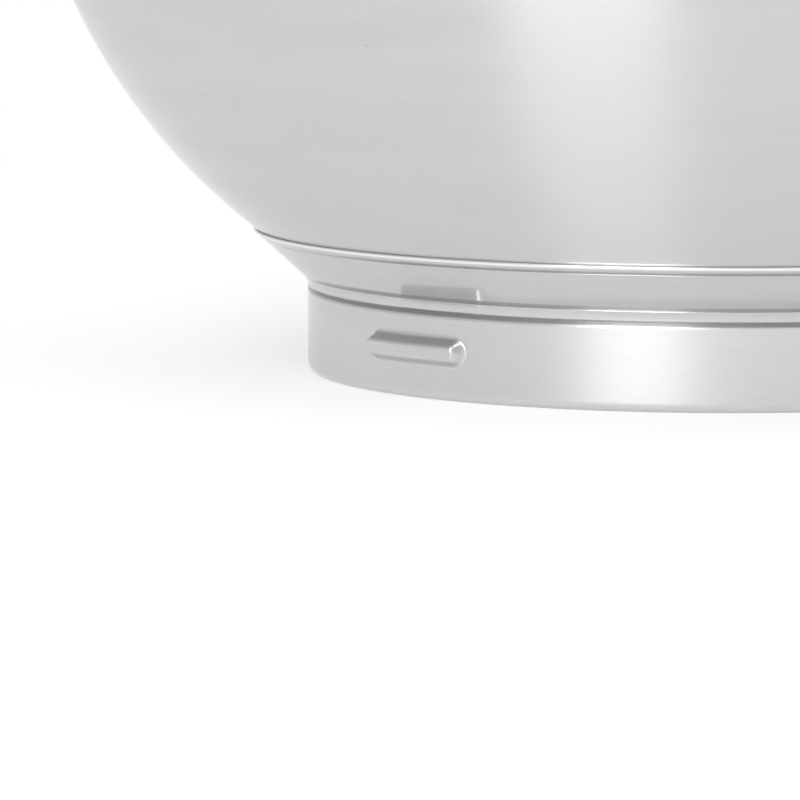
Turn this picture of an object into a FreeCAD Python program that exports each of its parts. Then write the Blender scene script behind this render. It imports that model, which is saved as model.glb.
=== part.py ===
import FreeCAD, Part
import math
import os

# A twist-lock bowl of a stand mixer: a drawn stainless steel shell, and the pressed foot ring
# that is welded under it. Lengths are in millimetres and angles in degrees.
# The axis of the bowl is Z, and Z is 0 on the plane that the foot stands on.

# Sizes of the drawn shell
inner_radius = 118.0
shell_sheet = 0.6
bowl_height = 157.0
side_radius = 102.8
floor_radius = 48.2
floor_corner_radius = 18.0
floor_clearance = 9.5

# Sizes of the raised centre in the floor
dome_radius = 45.0
dome_height = 4.0
dome_blend_radius = 10.0

# Sizes of the curled rim
curl_radius = 1.9
curl_turn = 300.0

# Sizes of the pressed foot ring
ring_sheet = 0.6
foot_radius = 69.5
cone_reach = 8.0
cone_spread = 5.6
lap_length = 2.0
flange_width = 5.5
lap_bend_radius = 8.0
neck_bend_radius = 3.1
heel_bend_radius = 0.9

# Sizes of the bayonet lugs pressed out of the foot ring
lug_count = 4
lug_first_angle = 45.0
lug_length = 22.0
lug_height = 4.0
lug_proud = 2.2
lug_edge_radius = 1.1
lug_root_radius = 0.5

# How far apart two places may be and still count as the same
same_place = 0.001

# The bowl's side is an arc that starts upright at the wall and comes down inwards until it
# touches the rounded corner of the floor.
floor_level = floor_clearance + shell_sheet
corner_centre = (floor_radius, floor_level + floor_corner_radius)
side_inset = inner_radius - side_radius
side_rise = math.sqrt((side_radius - floor_corner_radius) ** 2 - (floor_radius - side_inset) ** 2)
side_centre = (side_inset, corner_centre[1] + side_rise)
curl_centre = (inner_radius + shell_sheet + curl_radius, bowl_height - shell_sheet - curl_radius)

# The foot ring is welded to the outside of the bowl's side in one circle, and lies there at the
# side's own slope. Its cone leaves the side at the spread, so that it stays clear of the bowl.
# These slopes are measured from upright.
weld_radius = foot_radius + cone_reach
weld_slope = math.degrees(math.acos((weld_radius - side_inset) / (side_radius + shell_sheet)))
cone_slope = weld_slope - cone_spread


def point(place):
    return FreeCAD.Vector(place[0], 0, place[1])


def polar(centre, radius, angle):
    turned = math.radians(angle)
    return (centre[0] + radius * math.cos(turned), centre[1] + radius * math.sin(turned))


def line(start, end):
    return Part.LineSegment(point(start), point(end)).toShape()


def arc(centre, radius, start, end):
    angles = (start, (start + end) / 2, end)
    return Part.Arc(*[point(polar(centre, radius, angle)) for angle in angles]).toShape()


def turn_about_axis(face, angle):
    return face.revolve(FreeCAD.Vector(0, 0, 0), FreeCAD.Vector(0, 0, 1), angle)


def spin(edges):
    # Turns a closed section once round the bowl's axis.
    return turn_about_axis(Part.Face(Part.Wire(Part.sortEdges(edges)[0])), 360)


def raised_centre():
    # The blend round the raised centre touches the dome from outside and the floor from above.
    dome_centre = (0.0, floor_level + dome_height - dome_radius)
    height = floor_level + dome_blend_radius
    rise = height - dome_centre[1]
    reach = math.sqrt((dome_radius + dome_blend_radius) ** 2 - rise**2)
    return dome_centre, (reach, height), math.degrees(math.atan2(rise, reach))


def shell_skin(depth):
    # One skin of the sheet, from the axis to the end of the curl. Depth 0 is the inside of the
    # bowl, and a depth of one sheet is the outside.
    dome_centre, blend_centre, dome_angle = raised_centre()
    level = floor_level - depth
    wall = inner_radius + depth
    corner_angle = -math.degrees(math.atan2(side_rise, floor_radius - side_inset))
    return [
        arc(dome_centre, dome_radius - depth, 90, dome_angle),
        arc(blend_centre, dome_blend_radius + depth, dome_angle + 180, 270),
        line((blend_centre[0], level), (floor_radius, level)),
        arc(corner_centre, floor_corner_radius + depth, -90, corner_angle),
        arc(side_centre, side_radius + depth, corner_angle, 0),
        line((wall, side_centre[1]), (wall, curl_centre[1])),
        arc(curl_centre, curl_radius + shell_sheet - depth, 180, 180 - curl_turn),
    ]


def bowl_shell():
    top = floor_level + dome_height
    curl_radii = (curl_radius, curl_radius + shell_sheet)
    curl_end = line(*[polar(curl_centre, radius, 180 - curl_turn) for radius in curl_radii])
    centre_line = line((0, top), (0, top - shell_sheet))
    return spin(shell_skin(0) + shell_skin(shell_sheet) + [curl_end, centre_line])


def cross(start, middle, end):
    # Above 0 where a chain of straight runs turns left at its middle point.
    first = (middle[0] - start[0], middle[1] - start[1])
    second = (end[0] - middle[0], end[1] - middle[1])
    return first[0] * second[1] - first[1] * second[0]


def offset(corners, distance):
    # Moves a chain of straight runs sideways, to the left of the way it goes.
    moved = []
    for start, end in zip(corners, corners[1:]):
        share = distance / math.dist(start, end)
        side = ((start[1] - end[1]) * share, (end[0] - start[0]) * share)
        moved.append([(place[0] + side[0], place[1] + side[1]) for place in (start, end)])
    found = [moved[0][0]]
    for (start, end), (next_start, next_end) in zip(moved, moved[1:]):
        ahead = cross(start, next_start, next_end)
        share = ahead / (ahead - cross(end, next_start, next_end))
        found.append((start[0] + (end[0] - start[0]) * share, start[1] + (end[1] - start[1]) * share))
    return found + [moved[-1][1]]


def rounded(corners, radii):
    # A chain of straight runs with a tangent arc at each inner corner.
    edges = []
    start = point(corners[0])
    for before, corner, after, radius in zip(corners, corners[1:], corners[2:], radii):
        back = (point(before) - point(corner)).normalize()
        ahead = (point(after) - point(corner)).normalize()
        half_turn = (math.pi - back.getAngle(ahead)) / 2
        trim = radius * math.tan(half_turn)
        bend_start = point(corner) + back * trim
        bend_end = point(corner) + ahead * trim
        inward = (back + ahead).normalize()
        middle = point(corner) + inward * (radius / math.cos(half_turn) - radius)
        edges.append(Part.LineSegment(start, bend_start).toShape())
        edges.append(Part.Arc(bend_start, middle, bend_end).toShape())
        start = bend_end
    edges.append(Part.LineSegment(start, point(corners[-1])).toShape())
    return edges


def round_end(inner, outer, way):
    # Closes a sheet's edge with a half circle that bulges the given way.
    middle = ((inner[0] + outer[0]) / 2, (inner[1] + outer[1]) / 2)
    half = math.dist(inner, outer) / 2
    bulge = (middle[0] + way[0] * half, middle[1] + way[1] * half)
    return Part.Arc(point(inner), point(bulge), point(outer)).toShape()


def ring_corners():
    # The ring's inner skin, downwards: the lap along the bowl's side, the cone, the upright skirt,
    # and the flange that turns inwards under it.
    weld = polar(side_centre, side_radius + shell_sheet, -weld_slope)
    lap_top = polar(weld, lap_length / 2, 90 - weld_slope)
    lap_foot = polar(weld, lap_length / 2, 270 - weld_slope)
    skirt = foot_radius - ring_sheet
    neck_height = lap_foot[1] - (lap_foot[0] - skirt) / math.tan(math.radians(cone_slope))
    toe = foot_radius - flange_width
    return [lap_top, lap_foot, (skirt, neck_height), (skirt, ring_sheet), (toe, ring_sheet)]


def ring_body():
    inner = ring_corners()
    inner_bends = [lap_bend_radius, neck_bend_radius, heel_bend_radius]
    turns = [cross(*places) for places in zip(inner, inner[1:], inner[2:])]
    # A bend to the left has its centre on the outer skin's side, so the outer skin bends tighter.
    outer_bends = [bend - math.copysign(ring_sheet, turn) for bend, turn in zip(inner_bends, turns)]
    outer = offset(inner, ring_sheet)
    upward = polar((0, 0), 1, 90 - weld_slope)
    ends = [round_end(inner[0], outer[0], upward), round_end(inner[-1], outer[-1], (-1, 0))]
    return spin(rounded(inner, inner_bends) + rounded(outer, outer_bends) + ends)


def lug_low():
    # The lugs lie midway up the straight part of the skirt, between its two bends.
    neck_height = ring_corners()[2][1]
    top = neck_height - neck_bend_radius * math.tan(math.radians(cone_slope) / 2)
    bottom = ring_sheet + heel_bend_radius
    return (top + bottom - lug_height) / 2


def farthest(edge):
    return max(math.hypot(vertex.X, vertex.Y) for vertex in edge.Vertexes)


def lug_block(angle, depth):
    # A curved bar that stands out of the skirt, with its outer edges rounded. Depth 0 is the lug's
    # outside. A depth of one sheet is the hollow behind it, which is open to the skirt's inside.
    inner = foot_radius - ring_sheet / 2 - depth
    outer = foot_radius + lug_proud - depth
    low = lug_low() + depth
    high = lug_low() + lug_height - depth
    half_angle = math.degrees((lug_length / 2 - depth) / foot_radius)
    corners = [(inner, low), (outer, low), (outer, high), (inner, high)]
    sides = [line(start, end) for start, end in zip(corners, corners[1:] + corners[:1])]
    block = turn_about_axis(Part.Face(Part.Wire(sides)), 2 * half_angle)
    block.rotate(FreeCAD.Vector(0, 0, 0), FreeCAD.Vector(0, 0, 1), angle - half_angle)
    outer_edges = [edge for edge in block.Edges if farthest(edge) > outer - same_place]
    return block.makeFillet(lug_edge_radius - depth, outer_edges)


def round_lug_roots(ring):
    # The edges where a lug rises from the skirt lie on the skirt's outside, at the lug's height.
    low = lug_low() - same_place
    high = lug_low() + lug_height + same_place
    roots = [
        edge
        for edge in ring.Edges
        if all(abs(math.hypot(vertex.X, vertex.Y) - foot_radius) < same_place for vertex in edge.Vertexes)
        and low < edge.CenterOfMass.z < high
        and edge.Length < lug_length + same_place
    ]
    return ring.makeFillet(lug_root_radius, roots)


def foot_ring():
    angles = [lug_first_angle + 360 * number / lug_count for number in range(lug_count)]
    ring = ring_body().fuse([lug_block(angle, 0) for angle in angles])
    return round_lug_roots(ring).cut([lug_block(angle, ring_sheet) for angle in angles])


def save(name, shape):
    solid = shape.Solids[0]
    solid.exportStep(os.path.join("parts", name + ".step"))
    print(name, "solids", len(shape.Solids), "valid", solid.isValid(), "volume", round(solid.Volume, 1))


os.makedirs("parts", exist_ok=True)
save("bowl_shell", bowl_shell())
save("foot_ring", foot_ring())
print("weld slope", round(weld_slope, 2), "cone slope", round(cone_slope, 2))
print("ring corners", [[round(value, 2) for value in corner] for corner in ring_corners()])
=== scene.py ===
import math

import bpy
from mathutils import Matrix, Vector


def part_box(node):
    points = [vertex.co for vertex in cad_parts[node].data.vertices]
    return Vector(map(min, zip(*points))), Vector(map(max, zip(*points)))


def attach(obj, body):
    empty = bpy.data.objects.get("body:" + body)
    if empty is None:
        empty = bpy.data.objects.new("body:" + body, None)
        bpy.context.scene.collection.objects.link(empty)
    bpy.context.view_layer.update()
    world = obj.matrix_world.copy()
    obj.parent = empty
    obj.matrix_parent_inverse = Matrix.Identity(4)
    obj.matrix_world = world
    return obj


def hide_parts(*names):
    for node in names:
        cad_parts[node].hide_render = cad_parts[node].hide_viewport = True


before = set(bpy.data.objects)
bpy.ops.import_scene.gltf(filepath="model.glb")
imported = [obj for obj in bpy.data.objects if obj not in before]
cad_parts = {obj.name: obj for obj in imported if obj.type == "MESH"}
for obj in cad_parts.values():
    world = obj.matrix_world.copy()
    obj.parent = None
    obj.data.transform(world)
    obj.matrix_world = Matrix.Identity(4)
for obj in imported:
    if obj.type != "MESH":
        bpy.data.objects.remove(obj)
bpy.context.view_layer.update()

mm = 0.001
samePlace = 1e-6         # mm; two places on a section that are nearer than this are one
mergeReach = 0.002 * mm  # the same for the points of a finished mesh
bendStep = 0.12          # the longest step round a bend, as a share of its radius
capSteps = 6             # the sheet's thickness holds this many steps of its rounded edge


# Helpers for the curves of the two sections. A place is (distance from the axis, height), in mm.

def polar(centre, radius, angle):
    turned = math.radians(angle)
    return (centre[0] + radius * math.cos(turned), centre[1] + radius * math.sin(turned))


def arcPlaces(centre, radius, start, end, spacing):
    steps = max(3, math.ceil(abs(math.radians(end - start)) * radius / spacing))
    return [polar(centre, radius, start + (end - start) * step / steps) for step in range(steps + 1)]


def linePlaces(start, end, spacing):
    steps = max(1, math.ceil(math.dist(start, end) / spacing))
    shares = [step / steps for step in range(steps + 1)]
    return [(start[0] + (end[0] - start[0]) * s, start[1] + (end[1] - start[1]) * s) for s in shares]


def joined(*stretches):
    places = []
    for stretch in stretches:
        places += [p for p in stretch if not places or math.dist(p, places[-1]) > samePlace]
    return places


def roundedPath(corners, radii, spacing):
    # Straight runs from corner to corner, with a tangent arc at each inner corner
    stretches = []
    start = Vector(corners[0])
    for before, corner, after, radius in zip(corners, corners[1:], corners[2:], radii):
        back = (Vector(before) - Vector(corner)).normalized()
        ahead = (Vector(after) - Vector(corner)).normalized()
        halfTurn = (math.pi - back.angle(ahead)) / 2
        trim = radius * math.tan(halfTurn)
        centre = Vector(corner) + (back + ahead).normalized() * (radius / math.cos(halfTurn))
        bendStart = Vector(corner) + back * trim
        bendEnd = Vector(corner) + ahead * trim
        first = math.degrees(math.atan2(*reversed(bendStart - centre)))
        last = math.degrees(math.atan2(*reversed(bendEnd - centre)))
        last += 360 * round((first - last) / 360)
        step = min(spacing, radius * bendStep)
        stretches += [linePlaces(start, bendStart, spacing)]
        stretches += [arcPlaces(tuple(centre), radius, first, last, step)]
        start = bendEnd
    return joined(*stretches, linePlaces(start, corners[-1], spacing))


def sheetSection(path, sheet, onAxis):
    # Gives the middle line of a sheet its two skins, and rounds its cut edges. A sheet that starts
    # on the axis is level there and has no edge.
    skins = [[], []]
    tangents = []
    for i, place in enumerate(path):
        before = path[max(i - 1, 0)]
        after = path[min(i + 1, len(path) - 1)]
        tangent = (Vector(after) - Vector(before)).normalized()
        if onAxis and i == 0:
            tangent = Vector((1, 0))
        tangents.append(tangent)
        for skin, reach in zip(skins, (sheet / 2, -sheet / 2)):
            skin.append((place[0] - tangent.y * reach, place[1] + tangent.x * reach))
    left, right = skins
    step = sheet / capSteps
    heading = math.degrees(math.atan2(tangents[-1].y, tangents[-1].x))
    endCap = arcPlaces(path[-1], sheet / 2, heading + 90, heading - 90, step)[1:-1]
    if onAxis:
        return left + endCap + right[::-1]
    heading = math.degrees(math.atan2(tangents[0].y, tangents[0].x))
    startCap = arcPlaces(path[0], sheet / 2, heading - 90, heading - 270, step)[1:-1]
    return left + endCap + right[::-1] + startCap


# Helpers for node trees and materials

def addNode(tree, kind, links=(), **settings):
    # Makes one node. A setting whose name is a socket sets that socket, and any other sets the node.
    node = tree.nodes.new(kind)
    for name, value in settings.items():
        if hasattr(node, name):
            setattr(node, name, value)
        else:
            node.inputs[name.replace("_", " ")].default_value = value
    for socket, source in dict(links).items():
        tree.links.new(source, node.inputs[socket])
    return node


def linear(hexColour):
    channels = [int(hexColour[i:i + 2], 16) / 255 for i in (1, 3, 5)]
    return [c / 12.92 if c <= 0.04045 else ((c + 0.055) / 1.055) ** 2.4 for c in channels] + [1.0]


def newMaterial(name):
    material = bpy.data.materials.new(name)
    material.use_nodes = True
    material.node_tree.nodes.clear()
    return material, material.node_tree


# Polished stainless steel: drawn from sheet, then polished while it turns under an abrasive wheel.
# The wheel leaves very fine lines round the bowl. They smear each highlight up and down the side, but
# keep it narrow round the side. Between them the metal is smooth, which adds a faint sharp mirror
# image: that share of the gloss is the coat.
steel = {
    "colour": "#CDCDCD",
    "colourDark": "#CBCBCB",
    "edgeTint": "#E0E0E0",
    "lineRoughness": 0.37,
    "unevenness": 0.03,       # how far the roughness goes up and down from line to line
    "anisotropy": 1.0,
    "quarterTurn": 0.25,      # the highlights smear across the lines, which run round the axis
    "coatWeight": 0.78,
    "coatRoughness": 0.06,
    "coatIor": 2.8,
    "lineSpacing": 0.5,       # mm; the real lines are 0.02 mm apart, so a few coarse ones stand for them
    "lineLength": 4.0,        # mm
    "lineDepth": 0.0004,      # mm
    "bandSpacing": 7.0,       # mm; the wheel's broader passes
    "bandLength": 45.0,       # mm
    "roughSpan": (0.6, 1.4),  # the two noises add up to about 1, and within this span they count
    "shadeSpan": (0.7, 1.3),
    "nickColour": "#BCBCBC",
    "nickDepth": 0.4,         # mm
    "nickCore": 0.3,          # the share of a nick's half size that is dull all over
}


def makeSteel(name, settings, edgePlaces=(), nicks=()):
    # Each edge place is a bare cut edge. It is rougher than the polish, and its highlight is painted as a
    # brighter colour. Each nick is a small dull mark in the polish: its place, its length round the bowl
    # and its height, in mm.
    # A Mix node has its two colours in sockets 6 and 7, and its two numbers in 2 and 3.
    material, tree = newMaterial(name)
    coords = addNode(tree, "ShaderNodeTexCoord")
    parts = addNode(tree, "ShaderNodeSeparateXYZ", {"Vector": coords.outputs["Object"]})
    flat = addNode(tree, "ShaderNodeCombineXYZ", {"X": parts.outputs["X"], "Y": parts.outputs["Y"]})
    radius = addNode(tree, "ShaderNodeVectorMath", {0: flat.outputs[0]}, operation="LENGTH")
    # Radius plus height grows steadily from the middle of the floor to the rim.
    along = addNode(tree, "ShaderNodeMath", {0: radius.outputs["Value"], 1: parts.outputs["Z"]},
                    operation="ADD")

    def lines(spacing, length):
        # Noise that is drawn out round the bowl: its spacing up the side and its length round it, in mm
        scaled = addNode(tree, "ShaderNodeMath", {0: along.outputs[0]}, operation="MULTIPLY")
        scaled.inputs[1].default_value = 1 / (spacing * mm)
        height = addNode(tree, "ShaderNodeCombineXYZ", {"Z": scaled.outputs[0]})
        around = addNode(tree, "ShaderNodeVectorMath", {0: flat.outputs[0]}, operation="SCALE",
                         Scale=1 / (length * mm))
        place = addNode(tree, "ShaderNodeVectorMath", {0: around.outputs[0], 1: height.outputs[0]},
                        operation="ADD")
        return addNode(tree, "ShaderNodeTexNoise", {"Vector": place.outputs[0]}, Scale=1.0, Detail=1.0)

    fine = lines(settings["lineSpacing"], settings["lineLength"])
    broad = lines(settings["bandSpacing"], settings["bandLength"])
    uneven = addNode(tree, "ShaderNodeMath", {0: fine.outputs["Fac"], 1: broad.outputs["Fac"]},
                     operation="ADD")
    low, high = settings["roughSpan"]
    rough = addNode(tree, "ShaderNodeMapRange", {"Value": uneven.outputs[0]}, From_Min=low, From_Max=high,
                    To_Min=settings["lineRoughness"] - settings["unevenness"],
                    To_Max=settings["lineRoughness"] + settings["unevenness"])
    low, high = settings["shadeSpan"]
    shade = addNode(tree, "ShaderNodeMapRange", {"Value": uneven.outputs[0]}, From_Min=low, From_Max=high)
    colour = addNode(tree, "ShaderNodeMix", {"Factor": shade.outputs["Result"]}, data_type="RGBA")
    colour.inputs[6].default_value = linear(settings["colour"])
    colour.inputs[7].default_value = linear(settings["colourDark"])
    shown = colour.outputs[2]
    roughness = rough.outputs["Result"]
    for edgeRadius, edgeHeight in edgePlaces:
        section = addNode(tree, "ShaderNodeCombineXYZ",
                          {"X": radius.outputs["Value"], "Y": parts.outputs["Z"]})
        distance = addNode(tree, "ShaderNodeVectorMath", {0: section.outputs[0]}, operation="DISTANCE")
        distance.inputs[1].default_value = (edgeRadius * mm, edgeHeight * mm, 0)
        edge = addNode(tree, "ShaderNodeMapRange", {"Value": distance.outputs["Value"]},
                       From_Min=settings["edgeEnd"] * mm, From_Max=settings["edgeCore"] * mm,
                       To_Min=0.0, To_Max=1.0)
        # Painted highlight: near a cut edge the colour goes to a brighter one, and the roughness goes up.
        highlighted = addNode(tree, "ShaderNodeMix", {"Factor": edge.outputs["Result"], 6: shown},
                         data_type="RGBA")
        highlighted.inputs[7].default_value = linear(settings["edgeHighlightColour"])
        rougher = addNode(tree, "ShaderNodeMix", {"Factor": edge.outputs["Result"], 2: roughness})
        rougher.inputs[3].default_value = settings["edgeRoughness"]
        shown = highlighted.outputs[2]
        roughness = rougher.outputs[0]
    for place, length, height in nicks:
        heading = math.atan2(place[1], place[0]) + math.pi / 2
        reach = [size / 2 * mm for size in (length, settings["nickDepth"], height)]
        centred = addNode(tree, "ShaderNodeMapping", {"Vector": coords.outputs["Object"]},
                          vector_type="TEXTURE", Location=[v * mm for v in place],
                          Rotation=(0, 0, heading), Scale=reach)
        distance = addNode(tree, "ShaderNodeVectorMath", {0: centred.outputs[0]}, operation="LENGTH")
        mark = addNode(tree, "ShaderNodeMapRange", {"Value": distance.outputs["Value"]}, From_Min=1.0,
                       From_Max=settings["nickCore"], To_Min=0.0, To_Max=1.0)
        dulled = addNode(tree, "ShaderNodeMix", {"Factor": mark.outputs["Result"], 6: shown},
                         data_type="RGBA")
        dulled.inputs[7].default_value = linear(settings["nickColour"])
        shown = dulled.outputs[2]
    bump = addNode(tree, "ShaderNodeBump", {"Height": fine.outputs["Fac"]}, Strength=1.0,
                   Distance=settings["lineDepth"] * mm)
    roundAxis = addNode(tree, "ShaderNodeTangent", direction_type="RADIAL", axis="Z")
    shader = addNode(
        tree, "ShaderNodeBsdfPrincipled",
        {"Base Color": shown, "Roughness": roughness, "Normal": bump.outputs[0],
         "Tangent": roundAxis.outputs[0]},
        Metallic=1.0, Specular_Tint=linear(settings["edgeTint"]), Anisotropic=settings["anisotropy"],
        Anisotropic_Rotation=settings["quarterTurn"], Coat_Weight=settings["coatWeight"],
        Coat_Roughness=settings["coatRoughness"], Coat_IOR=settings["coatIor"],
    )
    addNode(tree, "ShaderNodeOutputMaterial", {"Surface": shader.outputs[0]})
    return material


def turnedTree():
    # Turns a section once round the Z axis: the section is swept along a circle.
    tree = bpy.data.node_groups.new("turnSection", "GeometryNodeTree")
    for name, kind in (("Geometry", "NodeSocketGeometry"), ("Rail Radius", "NodeSocketFloat"),
                       ("Steps", "NodeSocketInt"), ("Material", "NodeSocketMaterial")):
        tree.interface.new_socket(name, in_out="INPUT", socket_type=kind)
    tree.interface.new_socket("Geometry", in_out="OUTPUT", socket_type="NodeSocketGeometry")
    given = addNode(tree, "NodeGroupInput").outputs
    rail = addNode(tree, "GeometryNodeCurvePrimitiveCircle",
                   {"Radius": given["Rail Radius"], "Resolution": given["Steps"]})
    section = addNode(tree, "GeometryNodeMeshToCurve", {"Mesh": given["Geometry"]})
    swept = addNode(tree, "GeometryNodeCurveToMesh",
                    {"Curve": rail.outputs["Curve"], "Profile Curve": section.outputs[0]})
    closed = addNode(tree, "GeometryNodeMergeByDistance", {"Geometry": swept.outputs[0]},
                     Distance=mergeReach)
    smooth = addNode(tree, "GeometryNodeSetShadeSmooth", {"Geometry": closed.outputs[0]})
    real = addNode(tree, "GeometryNodeRealizeInstances", {"Geometry": smooth.outputs[0]})
    finished = addNode(tree, "GeometryNodeSetMaterial",
                       {"Geometry": real.outputs[0], "Material": given["Material"]})
    addNode(tree, "NodeGroupOutput", {"Geometry": finished.outputs[0]})
    return tree


def repeatedTree():
    # Repeats a sector round the Z axis and joins the copies into one mesh.
    tree = bpy.data.node_groups.new("repeatSector", "GeometryNodeTree")
    for name, kind in (("Geometry", "NodeSocketGeometry"), ("Count", "NodeSocketInt"),
                       ("Material", "NodeSocketMaterial")):
        tree.interface.new_socket(name, in_out="INPUT", socket_type=kind)
    tree.interface.new_socket("Geometry", in_out="OUTPUT", socket_type="NodeSocketGeometry")
    given = addNode(tree, "NodeGroupInput").outputs
    places = addNode(tree, "GeometryNodePoints", {"Count": given["Count"]})
    index = addNode(tree, "GeometryNodeInputIndex")
    turn = addNode(tree, "ShaderNodeMath", {0: index.outputs[0], 1: given["Count"]}, operation="DIVIDE")
    angle = addNode(tree, "ShaderNodeMath", {0: turn.outputs[0]}, operation="MULTIPLY")
    angle.inputs[1].default_value = 2 * math.pi
    turned = addNode(tree, "ShaderNodeCombineXYZ", {"Z": angle.outputs[0]})
    copies = addNode(tree, "GeometryNodeInstanceOnPoints",
                     {"Points": places.outputs[0], "Instance": given["Geometry"],
                      "Rotation": turned.outputs[0]})
    real = addNode(tree, "GeometryNodeRealizeInstances", {"Geometry": copies.outputs[0]})
    closed = addNode(tree, "GeometryNodeMergeByDistance", {"Geometry": real.outputs[0]},
                     Distance=mergeReach)
    smooth = addNode(tree, "GeometryNodeSetShadeSmooth", {"Geometry": closed.outputs[0]})
    finished = addNode(tree, "GeometryNodeSetMaterial",
                       {"Geometry": smooth.outputs[0], "Material": given["Material"]})
    addNode(tree, "NodeGroupOutput", {"Geometry": finished.outputs[0]})
    return tree


def throughTree(name, mesh, tree, inputs):
    # Runs a mesh through a node tree and keeps the result as a plain mesh.
    source = bpy.data.objects.new(name + "Source", mesh)
    bpy.context.scene.collection.objects.link(source)
    modifier = source.modifiers.new("nodes", "NODES")
    modifier.node_group = tree
    for item in tree.interface.items_tree:
        if item.in_out == "INPUT" and item.name in inputs:
            modifier[item.identifier] = inputs[item.name]
    evaluated = source.evaluated_get(bpy.context.evaluated_depsgraph_get())
    result = bpy.data.meshes.new_from_object(evaluated)
    result.name = name
    if result.materials[0] is None:  # the source mesh brings an empty slot with it
        result.materials.pop(index=0)
    bpy.data.objects.remove(source)
    piece = bpy.data.objects.new(name, result)
    bpy.context.scene.collection.objects.link(piece)
    print(name, "faces", len(result.polygons), "box", [round(v / mm, 2) for v in piece.dimensions])
    return piece


# The drawn shell, in mm. Its lowest and highest places come from the frame.
shellLow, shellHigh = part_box("bowl_shell")
shell = {
    "innerRadius": 118.0,
    "sheet": 0.6,
    "sideRadius": 102.8,
    "floorRadius": 48.2,
    "floorCornerRadius": 18.0,
    "domeRadius": 45.0,
    "domeHeight": 4.0,
    "domeBlendRadius": 10.0,
    "curlRadius": 1.9,
    "curlTurn": 300.0,       # degrees
    "low": round(shellLow.z / mm, 2),
    "high": round(shellHigh.z / mm, 1),
    "railRadius": 200.0,     # the circle that the section is swept along
    "steps": 288,            # round the axis
    "spacing": {"dome": 1.1, "blend": 0.55, "floor": 2.2, "corner": 1.467, "side": 2.2, "wall": 4.4,
                "curl": 0.35},
    "nicks": (((-54.55, -92.95, 60.1), 2.0, 0.7),),
}


def shellPlaces(s):
    # The middle line of the sheet, from the axis to the end of the curl, and the side's centre.
    half = s["sheet"] / 2
    level = s["low"] + half
    inset = s["innerRadius"] - s["sideRadius"]
    corner = (s["floorRadius"], s["low"] + s["sheet"] + s["floorCornerRadius"])
    rise = math.sqrt((s["sideRadius"] - s["floorCornerRadius"]) ** 2 - (s["floorRadius"] - inset) ** 2)
    side = (inset, corner[1] + rise)
    cornerAngle = -math.degrees(math.atan2(rise, s["floorRadius"] - inset))
    domeCentre = (0.0, s["low"] + s["sheet"] + s["domeHeight"] - s["domeRadius"])
    blendHeight = s["low"] + s["sheet"] + s["domeBlendRadius"]
    blendRise = blendHeight - domeCentre[1]
    blendReach = math.sqrt((s["domeRadius"] + s["domeBlendRadius"]) ** 2 - blendRise ** 2)
    blend = (blendReach, blendHeight)
    domeAngle = math.degrees(math.atan2(blendRise, blendReach))
    curl = (s["innerRadius"] + s["sheet"] + s["curlRadius"], s["high"] - s["sheet"] - s["curlRadius"])
    wall = s["innerRadius"] + half
    spacing = s["spacing"]
    return side, joined(
        arcPlaces(domeCentre, s["domeRadius"] - half, 90, domeAngle, spacing["dome"]),
        arcPlaces(blend, s["domeBlendRadius"] + half, domeAngle + 180, 270, spacing["blend"]),
        linePlaces((blendReach, level), (s["floorRadius"], level), spacing["floor"]),
        arcPlaces(corner, s["floorCornerRadius"] + half, -90, cornerAngle, spacing["corner"]),
        arcPlaces(side, s["sideRadius"] + half, cornerAngle, 0, spacing["side"]),
        linePlaces((wall, side[1]), (wall, curl[1]), spacing["wall"]),
        arcPlaces(curl, s["curlRadius"] + half, 180, 180 - s["curlTurn"], spacing["curl"]),
    )


def sectionMesh(name, places, railRadius):
    # A circle's sweep puts the section's X outwards from the rail and its Y downwards.
    mesh = bpy.data.meshes.new(name + "Section")
    verts = [((r - railRadius) * mm, -z * mm, 0) for r, z in places]
    mesh.from_pydata(verts, [(i, i + 1) for i in range(len(verts) - 1)], [])
    return mesh


sideCentre, shellPath = shellPlaces(shell)
shellSection = sheetSection(shellPath, shell["sheet"], True)
shellOutline = sectionMesh("bowlShell", shellSection, shell["railRadius"])
bowlShell = throughTree("bowlShell", shellOutline, turnedTree(),
                        {"Rail Radius": shell["railRadius"] * mm, "Steps": shell["steps"],
                         "Material": makeSteel("polishedStainlessSteel", steel, nicks=shell["nicks"])})
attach(bowlShell, "root")
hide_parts("bowl_shell")
print("shell done, section places", len(shellSection))

# The pressed foot ring, in mm. One sector holds one lug, and the sectors repeat round the axis.
ring = {
    "sheet": 0.6,
    "footRadius": 69.5,
    "coneReach": 8.0,
    "coneSpread": 5.6,       # degrees
    "lapLength": 2.0,
    "flangeWidth": 5.5,
    "lapBend": 8.0,
    "neckBend": 3.1,
    "heelBend": 0.9,
    "lugCount": 4,
    "lugFirstAngle": 45.0,   # degrees
    "lugLength": 22.0,
    "lugHeight": 4.0,
    "lugProud": 2.2,
    "lugEdge": 1.1,
    "lugRoot": 0.5,
    "lugCorner": 0.8,
    "spacing": 1.2,
    "fineSpacing": 0.2,
    "endFineness": 2,        # how many times closer the places are round a lug's ends
    "sectorStep": 1.25,      # degrees
    "slack": 0.01,
}


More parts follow.
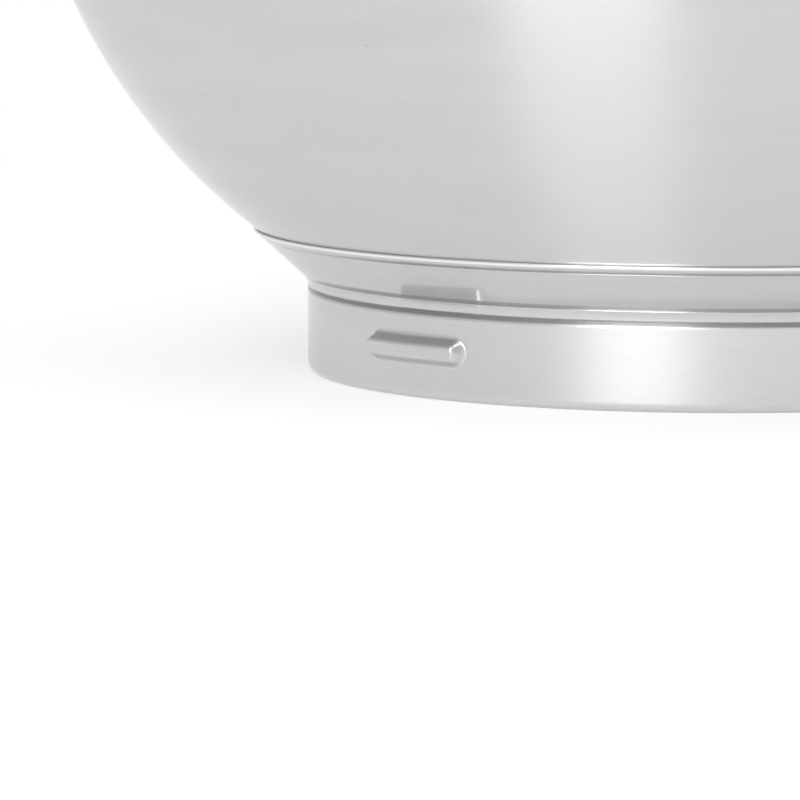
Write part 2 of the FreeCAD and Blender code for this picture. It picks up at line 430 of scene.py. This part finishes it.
def ringPath(s, shell, side):
    # The middle line of the ring's sheet, downwards, and the height of the lugs' middle
    half = s["sheet"] / 2
    outside = shell["sideRadius"] + shell["sheet"]
    slope = math.degrees(math.acos((s["footRadius"] + s["coneReach"] - side[0]) / outside))
    weld = polar(side, outside + half, -slope)
    lapTop = polar(weld, s["lapLength"] / 2, 90 - slope)
    lapFoot = polar(weld, s["lapLength"] / 2, 270 - slope)
    skirt = s["footRadius"] - half
    neck = lapFoot[1] - (lapFoot[0] - skirt) / math.tan(math.radians(slope - s["coneSpread"]))
    toe = s["footRadius"] - s["flangeWidth"]
    corners = [lapTop, lapFoot, (skirt, neck), (skirt, half), (toe, half)]
    bends = [s["lapBend"] - half, s["neckBend"] - half, s["heelBend"] + half]
    straightTop = neck - bends[1] * math.tan(math.radians(slope - s["coneSpread"]) / 2)
    straightLow = half + bends[2]
    lugMiddle = (straightTop + straightLow) / 2
    path = roundedPath(corners, bends, s["spacing"])
    # The lugs' stretch of the skirt gets close places.
    lugTop = lugMiddle + s["lugHeight"] / 2 + s["lugRoot"]
    lugLow = lugMiddle - s["lugHeight"] / 2 - s["lugRoot"]
    above = [p for p in path if p[1] > lugTop]
    below = [p for p in path if p[1] < lugLow]
    beside = linePlaces((skirt, lugTop), (skirt, lugLow), s["fineSpacing"])
    return joined(above, beside, below), lugMiddle


def smoothStep(share):
    share = min(max(share, 0.0), 1.0)
    return share * share * (3 - 2 * share)


def lugRise(s, around, height, lugMiddle):
    # How far the skirt stands out, from the distance to the lug's flat face, whose corners are round.
    inside = s["lugEdge"] + s["lugCorner"]
    outX = max(abs(around) - (s["lugLength"] / 2 - inside), 0)
    outZ = max(abs(height - lugMiddle) - (s["lugHeight"] / 2 - inside), 0)
    beyond = math.hypot(outX, outZ) - s["lugCorner"]
    return s["lugProud"] * (1 - smoothStep(beyond / (s["lugEdge"] + s["lugRoot"])))


def sectorAngles(s):
    # Degrees from the lug's middle, close together near the lug's ends.
    half = 180 / s["lugCount"]
    fineStart = math.degrees((s["lugLength"] / 2 - s["lugEdge"] - s["lugCorner"]) / s["footRadius"])
    fineEnd = math.degrees((s["lugLength"] / 2 + s["lugRoot"]) / s["footRadius"])
    fineStep = math.degrees(s["fineSpacing"] / s["footRadius"]) / s["endFineness"]
    angles = []
    for start, end, step in ((0, fineStart, s["sectorStep"]), (fineStart, fineEnd, fineStep),
                             (fineEnd, half, s["sectorStep"])):
        count = math.ceil((end - start) / step)
        angles += [start + (end - start) * i / count for i in range(count)]
    angles.append(half)
    return [-a for a in reversed(angles[1:])] + angles


def sectorMesh(s, section, lugMiddle):
    # The section at each of a sector's angles, with the skirt pressed out where the lug is
    skirtInner = s["footRadius"] - s["sheet"] - s["slack"]
    skirtTop = lugMiddle + s["lugHeight"]
    angles = sectorAngles(s)
    verts = []
    for angle in angles:
        turned = math.radians(angle + s["lugFirstAngle"])
        around = math.radians(angle) * s["footRadius"]
        for r, z in section:
            if r > skirtInner and z < skirtTop:
                r += lugRise(s, around, z, lugMiddle)
            verts.append((r * math.cos(turned) * mm, r * math.sin(turned) * mm, z * mm))
    count = len(section)
    faces = []
    for column in range(len(angles) - 1):
        low = column * count
        high = low + count
        for i in range(count):
            j = (i + 1) % count
            faces.append((low + i, low + j, high + j, high + i))
    mesh = bpy.data.meshes.new("footRingSector")
    mesh.from_pydata(verts, [], faces)
    return mesh


# Pressed stainless steel: the same sheet, stamped and then polished, so its lines are less even than
# turned ones and smear the highlights less. Its cut edges are rougher, and their highlight is painted
# on as a brighter colour.
ringSteel = dict(
    steel,
    colour="#C9C9C9",
    colourDark="#C5C5C5",
    anisotropy=0.7,
    # Painted highlight: the cut edges' colour, brighter than the steel
    edgeHighlightColour="#F4F4F4",
    edgeRoughness=0.3,
    edgeCore=0.3,            # mm from the middle of the cut edge; all of the edge's colour up to here
    edgeEnd=0.36,            # mm; none of it from here on
)

footPath, lugMiddle = ringPath(ring, shell, sideCentre)
footSection = sheetSection(footPath, ring["sheet"], False)
cutEdges = [footPath[0], footPath[-1]]
footRing = throughTree("footRing", sectorMesh(ring, footSection, lugMiddle), repeatedTree(),
                       {"Count": ring["lugCount"],
                        "Material": makeSteel("pressedStainlessSteel", ringSteel, cutEdges)})
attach(footRing, "root")
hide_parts("foot_ring")
print("foot ring done, section places", len(footSection))

# The floor is pale and matt. Camera and mirror rays also see a little of its own light, so that it
# is white, and its shadow stays. Lengths are in metres, and the lamps' power is in watts.
studio = {
    "floorRadius": 12.0,
    "floorSides": 128,
    "floorColour": "#E6E6E6",
    "floorGlow": 0.34,
    "fadeStart": 0.18,       # from the middle; the shadow fades out between here and fadeEnd
    "fadeEnd": 0.5,
    "skyForLight": 0.58,
    # Soft grey screens that only the metal sees: the way to each, the cosine at its edge, its tone
    "screens": (
        ((1.0, -0.1, 0.3), 0.6, 0.5),
        ((-1.0, -0.35, 0.3), 0.65, 0.67),
        ((-0.7, 0.75, 0.2), 0.6, 0.7),
    ),
    "softboxFront": {
        "shape": "RECTANGLE",
        "size": (0.67, 0.8),
        "place": (-0.49, -1.2, 0.66),
        "target": (0, 0, 0.08),
        "power": 9.0,
    },
    # Round, because its mirror image shows inside the bowl
    "softboxTop": {
        "shape": "ELLIPSE",
        "size": (2.93, 2.93),
        "place": (0.2, 0.3, 1.5),
        "target": (0, 0, 0.1),
        "power": 8.0,
    },
}


def makeFloor(s):
    bpy.ops.mesh.primitive_circle_add(vertices=s["floorSides"], radius=s["floorRadius"], fill_type="NGON")
    floor = bpy.context.object
    floor.name = "floor"
    material, tree = newMaterial("paleFloor")
    coords = addNode(tree, "ShaderNodeTexCoord")
    distance = addNode(tree, "ShaderNodeVectorMath", {0: coords.outputs["Object"]}, operation="LENGTH")
    fade = addNode(tree, "ShaderNodeMapRange", {"Value": distance.outputs["Value"]},
                   From_Min=s["fadeStart"], From_Max=s["fadeEnd"], interpolation_type="SMOOTHSTEP")
    # 1 for rays from the camera and for those that metal or glass sends on, and 0 for light
    path = addNode(tree, "ShaderNodeLightPath")
    direct = addNode(tree, "ShaderNodeMath",
                     {0: path.outputs["Is Camera Ray"], 1: path.outputs["Is Glossy Ray"]},
                     operation="MAXIMUM")
    seen = addNode(tree, "ShaderNodeMath", {0: direct.outputs[0], 1: path.outputs["Is Transmission Ray"]},
                   operation="MAXIMUM")
    matt = addNode(tree, "ShaderNodeBsdfDiffuse", Color=linear(s["floorColour"]))
    glow = addNode(tree, "ShaderNodeEmission", Strength=s["floorGlow"])
    near = addNode(tree, "ShaderNodeAddShader", {0: matt.outputs[0], 1: glow.outputs[0]})
    white = addNode(tree, "ShaderNodeEmission", Strength=1.0)
    shown = addNode(tree, "ShaderNodeMixShader",
                    {0: fade.outputs["Result"], 1: near.outputs[0], 2: white.outputs[0]})
    both = addNode(tree, "ShaderNodeMixShader",
                   {0: seen.outputs[0], 1: matt.outputs[0], 2: shown.outputs[0]})
    addNode(tree, "ShaderNodeOutputMaterial", {"Surface": both.outputs[0]})
    floor.data.materials.append(material)


def makeWorld(s):
    world = bpy.data.worlds.new("studio")
    bpy.context.scene.world = world
    world.use_nodes = True
    tree = world.node_tree
    tree.nodes.clear()
    path = addNode(tree, "ShaderNodeLightPath")
    coords = addNode(tree, "ShaderNodeTexCoord")
    # Metal sees a white room with the screens in it.
    room = addNode(tree, "ShaderNodeValue")
    room.outputs[0].default_value = 1.0
    for direction, reach, grey in s["screens"]:
        towards = addNode(tree, "ShaderNodeVectorMath", {0: coords.outputs["Generated"]},
                          operation="DOT_PRODUCT")
        towards.inputs[1].default_value = Vector(direction).normalized()
        screen = addNode(tree, "ShaderNodeMapRange", {"Value": towards.outputs["Value"]},
                         From_Min=reach, From_Max=1.0, To_Min=1.0, To_Max=grey,
                         interpolation_type="SMOOTHSTEP")
        room = addNode(tree, "ShaderNodeMath", {0: room.outputs[0], 1: screen.outputs["Result"]},
                       operation="MULTIPLY")
    glossy = addNode(tree, "ShaderNodeMix", {"Factor": path.outputs["Is Glossy Ray"], 3: room.outputs[0]})
    glossy.inputs[2].default_value = s["skyForLight"]
    # Camera and transmission rays see plain white.
    seen = addNode(tree, "ShaderNodeMath",
                   {0: path.outputs["Is Camera Ray"], 1: path.outputs["Is Transmission Ray"]},
                   operation="MAXIMUM")
    strength = addNode(tree, "ShaderNodeMath", {0: glossy.outputs[0], 1: seen.outputs[0]},
                       operation="MAXIMUM")
    sky = addNode(tree, "ShaderNodeBackground", {"Strength": strength.outputs[0]}, Color=(1, 1, 1, 1))
    addNode(tree, "ShaderNodeOutputWorld", {"Surface": sky.outputs[0]})


def addLamp(name, s):
    light = bpy.data.lights.new(name, "AREA")
    light.shape = s["shape"]
    light.size, light.size_y = s["size"]
    light.energy = s["power"]
    lamp = bpy.data.objects.new(name, light)
    lamp.location = s["place"]
    ahead = Vector(s["target"]) - Vector(s["place"])
    lamp.rotation_euler = ahead.to_track_quat("-Z", "Y").to_euler()
    lamp.visible_camera = False
    bpy.context.scene.collection.objects.link(lamp)


makeFloor(studio)
makeWorld(studio)
for lampName in ("softboxFront", "softboxTop"):
    addLamp(lampName, studio[lampName])
print("studio done")

# The camera stands 1.1 m in front of the bowl's axis, level with its wall, and looks down and to the
# left, so that the axis falls right of the picture's middle, as the photograph shows it.
view = {
    "place": (0.0, -1.1, 0.11768),  # metres
    "yaw": -2.805,                  # degrees
    "pitch": -6.400,                # degrees
    "focalPixels": 6473.8,
    "pictureWidth": 800,            # pixels
    "sensorWidth": 36.0,            # mm
}


def makeCamera(s):
    data = bpy.data.cameras.new("camera")
    data.sensor_width = s["sensorWidth"]
    data.lens = s["focalPixels"] / s["pictureWidth"] * s["sensorWidth"]
    camera = bpy.data.objects.new("camera", data)
    camera.location = s["place"]
    camera.rotation_euler = (math.radians(90 + s["pitch"]), 0, -math.radians(s["yaw"]))
    bpy.context.scene.collection.objects.link(camera)
    bpy.context.scene.camera = camera


makeCamera(view)
bpy.context.scene.view_settings.view_transform = "Standard"
print("camera done")
